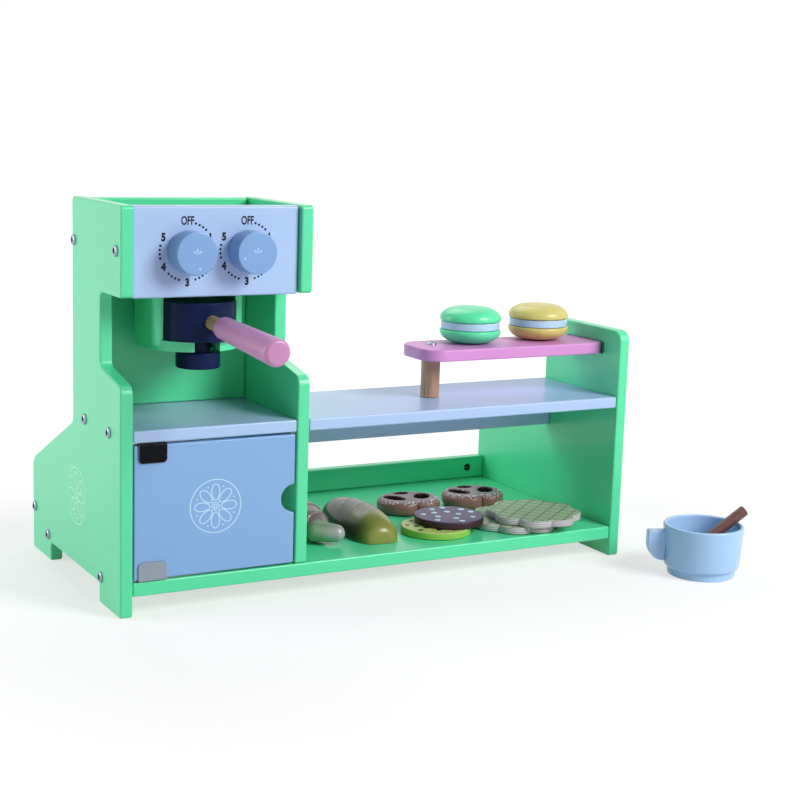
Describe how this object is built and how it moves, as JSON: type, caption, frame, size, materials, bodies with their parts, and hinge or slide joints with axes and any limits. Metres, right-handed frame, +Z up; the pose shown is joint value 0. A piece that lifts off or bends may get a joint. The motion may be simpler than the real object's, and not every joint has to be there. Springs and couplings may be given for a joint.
{
  "type": "toy coffee shop",
  "caption": "Wooden toy coffee shop: coffee machine with door, knobs and sliding filter holder, counter with shelves, loose bakery pieces, cup and stick.",
  "frame": {"origin": "on the floor under the middle of the whole set, cup and stick included", "axes": "+X along the counter from the coffee machine to the cup, +Y towards the back, +Z up"},
  "size_m": [0.4774, 0.2981, 0.2764],
  "materials": {
    "mint_paint": "satin mint green paint on plywood",
    "green_shell": "satin mint green paint",
    "pale_blue_paint": "satin pale blue paint on plywood",
    "door_blue_paint": "satin blue paint with a pale printed motif",
    "knob_paint": "satin grey blue paint",
    "navy_paint": "satin dark navy paint",
    "pink_paint": "satin pink paint",
    "beech": "bare turned beech",
    "plywood": "bare plywood with a printed grid",
    "yellow_paint": "satin yellow paint",
    "filling_paint": "satin pale blue paint",
    "crust_paint": "satin olive brown paint, shaded",
    "croissant_paint": "satin brown paint, shaded",
    "pretzel_paint": "satin brown paint with pale specks",
    "cookie_yellow_paint": "satin yellow green paint with dark specks",
    "chocolate_paint": "satin dark brown paint with pale specks",
    "cup_paint": "satin pale blue paint",
    "brown_stain": "dark brown stain",
    "bright_zinc": "bright zinc plate",
    "dark_steel": "black plate"
  },
  "bodies": {
    "shop": {"left_panel": "mint_paint", "middle_panel": "mint_paint", "right_end_panel": "mint_paint", "base_board": "mint_paint", "machine_tray": "pale_blue_paint", "back_board": "mint_paint", "control_panel": "pale_blue_paint", "counter_shelf": "pale_blue_paint", "shelf_apron": "pale_blue_paint", "back_rail": "mint_paint", "rail_barrel_nut": "dark_steel", "door_stop": "beech", "holder_plate": "mint_paint", "holder_hanger": "mint_paint", "display_shelf": "pink_paint", "shelf_post": "beech", "post_screw": "bright_zinc", "left_knob_screw": "bright_zinc", "right_knob_screw": "bright_zinc", "left_bolt_1": "bright_zinc", "left_bolt_2": "bright_zinc", "left_bolt_3": "bright_zinc", "left_bolt_4": "bright_zinc", "left_bolt_5": "bright_zinc", "left_bolt_6": "bright_zinc", "left_bolt_7": "bright_zinc", "middle_bolt_1": "bright_zinc", "middle_bolt_2": "bright_zinc", "right_bolt_1": "bright_zinc", "right_bolt_2": "bright_zinc", "right_bolt_3": "bright_zinc", "right_bolt_4": "bright_zinc", "right_bolt_5": "bright_zinc", "right_bolt_6": "bright_zinc"},
    "door": {"door": "door_blue_paint", "top_hinge_clip": "dark_steel", "bottom_hinge_clip": "bright_zinc"},
    "left_knob": {"left_knob": "knob_paint"},
    "right_knob": {"right_knob": "knob_paint"},
    "portafilter": {"portafilter_body": "navy_paint", "portafilter_spout": "navy_paint", "handle_dowel": "beech", "portafilter_handle": "pink_paint"},
    "green_macaroon": {"green_macaroon_bottom": "green_shell", "green_macaroon_filling": "filling_paint", "green_macaroon_top": "green_shell"},
    "yellow_macaroon": {"yellow_macaroon_bottom": "yellow_paint", "yellow_macaroon_filling": "filling_paint", "yellow_macaroon_top": "yellow_paint"},
    "croissant": {"croissant": "croissant_paint"},
    "bread_loaf": {"bread_loaf": "crust_paint"},
    "left_pretzel": {"left_pretzel": "pretzel_paint"},
    "right_pretzel": {"right_pretzel": "pretzel_paint"},
    "lower_cookie": {"lower_cookie": "cookie_yellow_paint"},
    "upper_cookie": {"upper_cookie": "chocolate_paint"},
    "lower_waffle": {"lower_waffle": "plywood"},
    "upper_waffle": {"upper_waffle": "plywood"},
    "cup": {"cup": "cup_paint"},
    "stir_stick": {"stir_stick": "brown_stain"}
  },
  "joints": [
    {"name": "door_hinge", "type": "hinge", "parent": "shop", "child": "door", "pos_m": [-0.22113, -0.0477, 0.07], "axis": [0, 0, -1], "range_deg": [0, 100]},
    {"name": "left_knob_turn", "type": "hinge", "parent": "shop", "child": "left_knob", "pos_m": [-0.18953, -0.0473, 0.2455], "axis": [0, -1, 0], "continuous": true},
    {"name": "right_knob_turn", "type": "hinge", "parent": "shop", "child": "right_knob", "pos_m": [-0.14673, -0.0473, 0.2455], "axis": [0, -1, 0], "continuous": true},
    {"name": "portafilter_slide", "type": "slide", "parent": "shop", "child": "portafilter", "axis": [0, -1, 0], "range_m": [0, 0.075]},
    {"name": "green_macaroon_lift", "type": "slide", "parent": "shop", "child": "green_macaroon", "axis": [0, 0, 1], "range_m": [0, 0.06]},
    {"name": "yellow_macaroon_lift", "type": "slide", "parent": "shop", "child": "yellow_macaroon", "axis": [0, 0, 1], "range_m": [0, 0.06]},
    {"name": "croissant_out", "type": "slide", "parent": "shop", "child": "croissant", "axis": [0, -0.9659, 0.2588], "range_m": [0, 0.125]},
    {"name": "bread_loaf_out", "type": "slide", "parent": "shop", "child": "bread_loaf", "axis": [0, -0.9659, 0.2588], "range_m": [0, 0.125]},
    {"name": "left_pretzel_out", "type": "slide", "parent": "shop", "child": "left_pretzel", "axis": [0, 0.7071, 0.7071], "range_m": [0, 0.141]},
    {"name": "right_pretzel_out", "type": "slide", "parent": "shop", "child": "right_pretzel", "axis": [0, 0.7071, 0.7071], "range_m": [0, 0.141]},
    {"name": "lower_cookie_out", "type": "slide", "parent": "shop", "child": "lower_cookie", "axis": [0, -0.9848, 0.1736], "range_m": [0, 0.08]},
    {"name": "upper_cookie_out", "type": "slide", "parent": "lower_cookie", "child": "upper_cookie", "axis": [0, -0.9848, 0.1736], "range_m": [0, 0.09]},
    {"name": "lower_waffle_out", "type": "slide", "parent": "shop", "child": "lower_waffle", "axis": [0, -1, 0], "range_m": [0, 0.09]},
    {"name": "upper_waffle_out", "type": "slide", "parent": "lower_waffle", "child": "upper_waffle", "axis": [0, -0.9659, 0.2588], "range_m": [0, 0.09]},
    {"name": "cup_lift", "type": "slide", "parent": "shop", "child": "cup", "axis": [0, 0, 1], "range_m": [0, 0.06]},
    {"name": "stir_stick_out", "type": "slide", "parent": "cup", "child": "stir_stick", "axis": [0.7714, -0.2067, 0.6018], "range_m": [0, 0.06]}
  ]
}
